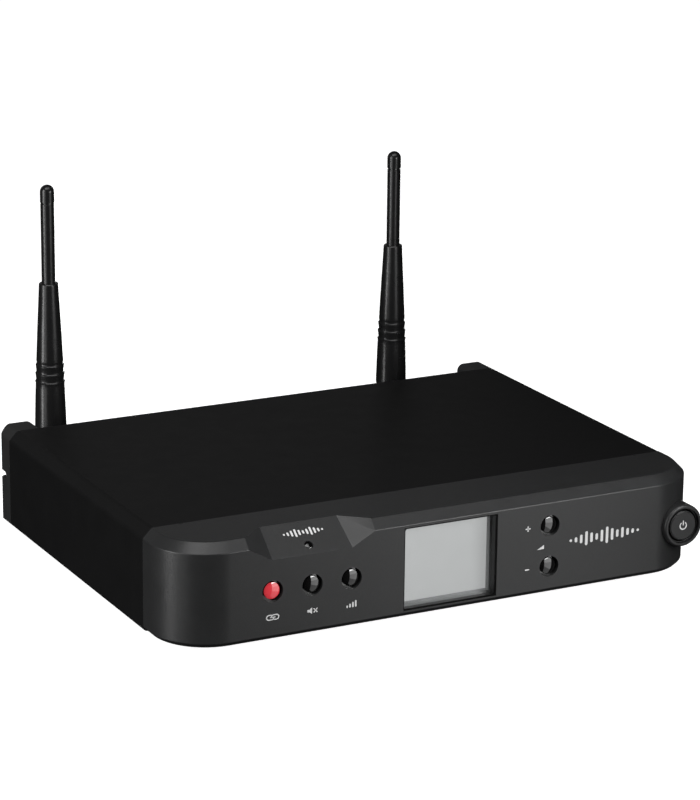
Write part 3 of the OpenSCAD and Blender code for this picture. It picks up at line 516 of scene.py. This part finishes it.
class Print:
    """Flat white print on a plane: origin, and the directions to its right and up. Sizes in mm."""

    THICK = 0.02

    def __init__(self, name, origin, right, up, body="chassis"):
        self.name, self.body = name, body
        right, up = Vector(right).normalized(), Vector(up).normalized()
        axes = Matrix((right, up, right.cross(up))).transposed().to_4x4()
        self.place = Matrix.Translation(origin) @ axes
        self.mesh = bmesh.new()

    def shape(self, points):
        """A filled outline."""
        ground = [self.mesh.verts.new((x, y, -self.THICK)) for x, y in points]
        raised = [self.mesh.verts.new((x, y, self.THICK)) for x, y in points]
        self.mesh.faces.new(raised)
        self.mesh.faces.new(ground[::-1])
        for i in range(len(points)):
            j = (i + 1) % len(points)
            self.mesh.faces.new((ground[i], ground[j], raised[j], raised[i]))

    def bar(self, x, y, width, height):
        """A bar with round ends about a point."""
        outline = rounded_outline(width, height, min(width, height) / 2)
        self.shape([(x + dx, y + dy) for dx, dy in outline])

    def stroke(self, start, end, width):
        """A straight line with square ends."""
        a, b = Vector(start), Vector(end)
        side = (b - a).orthogonal().normalized() * width / 2
        self.shape([tuple(p) for p in (b + side, b - side, a - side, a + side)])

    def arc(self, x, y, radius, width, start, end, steps=24):
        """Part of a ring, from one angle to another."""
        inner, outer = radius - width / 2, radius + width / 2
        for step in range(steps):
            a = math.radians(start + (end - start) * step / steps)
            b = math.radians(start + (end - start) * (step + 1) / steps)
            self.shape([(x + r * math.cos(t), y + r * math.sin(t))
                        for r, t in ((inner, a), (outer, a), (outer, b), (inner, b))])

    def finish(self):
        bmesh.ops.remove_doubles(self.mesh, verts=self.mesh.verts, dist=1e-4)
        bmesh.ops.recalc_face_normals(self.mesh, faces=self.mesh.faces)
        bmesh.ops.scale(self.mesh, verts=self.mesh.verts, vec=(MM, MM, MM))
        self.mesh.transform(self.place)
        piece = place_mesh(self.name, self.mesh)
        fit_visual(piece, MATERIALS["print_white"], self.body)


def front_print(name, x, z, body="chassis", y=face_y):
    return Print(name, (x, y, z), ACROSS, UPRIGHT, body=body)


def link_mark(x, z):
    """Two open loops with a bar through them."""
    mark = front_print("mark_link", x, z)
    loop_r, line = 0.85, 0.38
    inner_x, outer_x = 0.35, 1.45
    for side, bend, hook in ((-1, (90, 270), (-90, 0)), (1, (-90, 90), (90, 180))):
        mark.arc(side * outer_x, 0, loop_r, line, *bend, 12)
        for up in (-loop_r, loop_r):
            mark.stroke((side * inner_x, up), (side * outer_x, up), line)
        mark.arc(side * inner_x, 0, loop_r, line, *hook, 6)
    mark.stroke((-1.0, 0), (1.0, 0), 0.34)
    mark.finish()


def mute_mark(x, z):
    """A loudspeaker with a cross beside it."""
    mark = front_print("mark_mute", x, z)
    mark.shape([(-1.9, -0.45), (-1.1, -0.45), (-0.1, -1.2), (-0.1, 1.2), (-1.1, 0.45),
                (-1.9, 0.45)])
    mark.stroke((0.5, -0.75), (1.9, 0.75), 0.36)
    mark.stroke((0.5, 0.75), (1.9, -0.75), 0.36)
    mark.finish()


def channel_mark(x, z):
    """Four bars that rise to the right from one base line."""
    mark = front_print("mark_channel", x, z)
    pitch, base, width = 1.1, -1.2, 0.6
    for i in range(4):
        height = 0.9 + 0.5 * i
        mark.bar((i - 1.5) * pitch, height / 2 + base, width, height)
    mark.finish()


def wave_mark(name, origin, right, up, heights, pitch, width):
    """A row of round-ended bars, as a level display draws a sound."""
    mark = Print(name, origin, right, up)
    for i, height in enumerate(heights):
        mark.bar((i - (len(heights) - 1) / 2) * pitch, 0, width, height)
    mark.finish()


def power_mark():
    """An open ring with a bar in its gap, on the cap of the power button."""
    middle, cap_y = centre("power_button"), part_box("power_button")[0].y
    mark = front_print("mark_power", middle.x, middle.z, "power_key", cap_y)
    line = 0.42
    mark.arc(0, 0, 1.35, line, 125, 415)
    mark.bar(0, 1.05, line, 1.9)
    mark.finish()


link, mute, channel = (centre(n + "_button") for n in ("link", "mute", "channel"))
level_up, level_down = centre("level_up_button"), centre("level_down_button")
label_z = link.z - 9.3 * MM
link_mark(link.x, label_z)
mute_mark(mute.x, label_z)
channel_mark(channel.x, label_z)
sign_x = level_up.x - 9 * MM
plus = front_print("mark_plus", sign_x, level_up.z)
plus.bar(0, 0, 0.5, 2.1)
plus.bar(0, 0, 2.1, 0.5)
plus.finish()
minus = front_print("mark_minus", sign_x, level_down.z)
minus.bar(0, 0, 1.8, 0.5)
minus.finish()
wedge = front_print("mark_level", sign_x + 5.3 * MM, (level_up.z + level_down.z) / 2)
wedge.shape([(-1.4, -0.75), (1.4, -0.75), (1.4, 0.75)])
wedge.finish()
power_mark()
WAVE = [1.0, 1.9, 3.2, 5.2, 3.6, 2.4, 4.4, 6.2, 4.4, 2.8, 3.9, 2.6, 1.7, 1.0]
wave_mark("mark_wave", (62.5 * MM, face_y, base_z + 18.3 * MM), ACROSS, UPRIGHT, WAVE, 2.15, 1.05)
BADGE_WAVE = [0.8, 1.5, 2.4, 3.3, 2.2, 1.4, 2.2, 3.3, 2.4, 1.5, 0.8]
wave_mark("mark_badge", badge_foot + badge_up * 9.3 * MM, ACROSS, badge_up, BADGE_WAVE, 1.45, 0.72)

# ---------------------------------------------------------------- studio


def floor():
    """A plain pale floor that only the camera sees, so it doesn't change the light."""
    data = bpy.data.meshes.new("floor")
    half = 3.0
    corners = [(-half, -half, 0), (half, -half, 0), (half, half, 0), (-half, half, 0)]
    data.from_pydata(corners, [], [(0, 1, 2, 3)])
    piece = place_in_scene("floor", data)
    material, tree = new_tree("floor")
    shader = add(tree, "BsdfPrincipled", {"Base Color": (0.6, 0.6, 0.6, 1), "Roughness": 0.9,
                                          "Emission Color": (1, 1, 1, 1),
                                          "Emission Strength": 0.93})
    add(tree, "OutputMaterial", {"Surface": shader.outputs[0]})
    data.materials.append(material)
    piece.visible_glossy = False
    piece.visible_diffuse = False
    piece.visible_shadow = False


def lamp(name, place, facing, width, height, watts):
    """A rectangular light that faces along a direction, with its height upright."""
    light = bpy.data.lights.new(name, "AREA")
    light.shape = "RECTANGLE"
    light.size, light.size_y = width, height
    light.energy = watts
    piece = place_in_scene(name, light)
    piece.location = place
    piece.rotation_mode = "QUATERNION"
    piece.rotation_quaternion = Vector(facing).to_track_quat("-Z", "Y")
    piece.visible_camera = False


SOFTBOX_AIM = Vector((0, seam_y, 20 * MM))


def softbox(name, azimuth, elevation, distance, width, height, watts):
    """A lamp on a sphere round the object, facing it. Azimuth 0 is in front, 90 at the right."""
    a, e = math.radians(azimuth), math.radians(elevation)
    outward = Vector((math.sin(a) * math.cos(e), -math.cos(a) * math.cos(e), math.sin(e)))
    lamp(name, SOFTBOX_AIM + outward * distance, -outward, width, height, watts)


def card(name, start, end, low, high, watts):
    """An upright lamp between two places on the ground, given in mm, facing to its left."""
    a, b = Vector((*start, 0)) * MM, Vector((*end, 0)) * MM
    along = b - a
    place = (a + b) / 2 + Vector((0, 0, (low + high) / 2 * MM))
    lamp(name, place, (-along.y, along.x, 0), along.length, (high - low) * MM, watts)


def world(backdrop, fill):
    """White behind the object, and a dimmer fill that lights it."""
    made = bpy.data.worlds.new("world")
    made.use_nodes = True
    tree = made.node_tree
    tree.nodes.clear()
    seen = add(tree, "LightPath").outputs["Is Camera Ray"]
    strength = add(tree, "MapRange", {"Value": seen, "To Min": fill, "To Max": backdrop})
    light = add(tree, "Background", {"Color": (1, 1, 1, 1), "Strength": strength.outputs["Result"]})
    add(tree, "OutputWorld", {"Surface": light.outputs[0]})
    bpy.context.scene.world = made


def camera():
    """The product view: from the left, a little above, with a slight roll."""
    azimuth, elevation, roll = math.radians(-27.43), math.radians(16.44), math.radians(0.64)
    distance, focal = 1146.8 * MM, 140.0
    target = Vector((4.6 * MM, seam_y + 60 * MM, base_z + 52.7 * MM))
    back = Vector((math.sin(azimuth) * math.cos(elevation),
                   -math.cos(azimuth) * math.cos(elevation), math.sin(elevation)))
    right = (-back).cross(UPRIGHT).normalized()
    up = right.cross(-back)
    right_rolled = right * math.cos(roll) + up * math.sin(roll)
    up_rolled = up * math.cos(roll) - right * math.sin(roll)
    data = bpy.data.cameras.new("camera")
    data.lens, data.sensor_width = focal, 36
    data.clip_start, data.clip_end = 0.01, 20
    made = place_in_scene("camera", data)
    axes = Matrix((right_rolled, up_rolled, back)).transposed().to_4x4()
    made.matrix_world = Matrix.Translation(target + back * distance) @ axes
    bpy.context.scene.camera = made


floor()
world(1.0, 0.0)

# one upright card that grows brighter towards its top: name, lowest and highest in mm, watts
CARD_START, CARD_END = (95, -492), (186, -236)
for name, low, high, watts in (("card_high", 110, 220, 1.53), ("card_middle", 0, 110, 0.287),
                               ("card_low", -120, 0, 0.188), ("card_floor", -360, -120, 0.143)):
    card(name, CARD_START, CARD_END, low, high, watts)

# name, azimuth, elevation, distance, width, height (m), watts
softbox("softbox_left", -92, 8, 1.2, 0.25, 1.0, 12.4)
softbox("softbox_left_fill", -70, 8, 1.2, 0.4, 1.0, 3.9)
softbox("softbox_top", 0, 75, 1.2, 0.9, 0.6, 6.1)
softbox("softbox_top_left", -70, 62, 1.2, 0.5, 0.5, 4.0)
softbox("softbox_rear", 180, 18, 1.4, 1.6, 0.4, 0.36)
softbox("softbox_rear_low", 150, -12, 1.2, 0.4, 0.5, 5.0)
camera()
bpy.context.scene.view_settings.view_transform = "Standard"
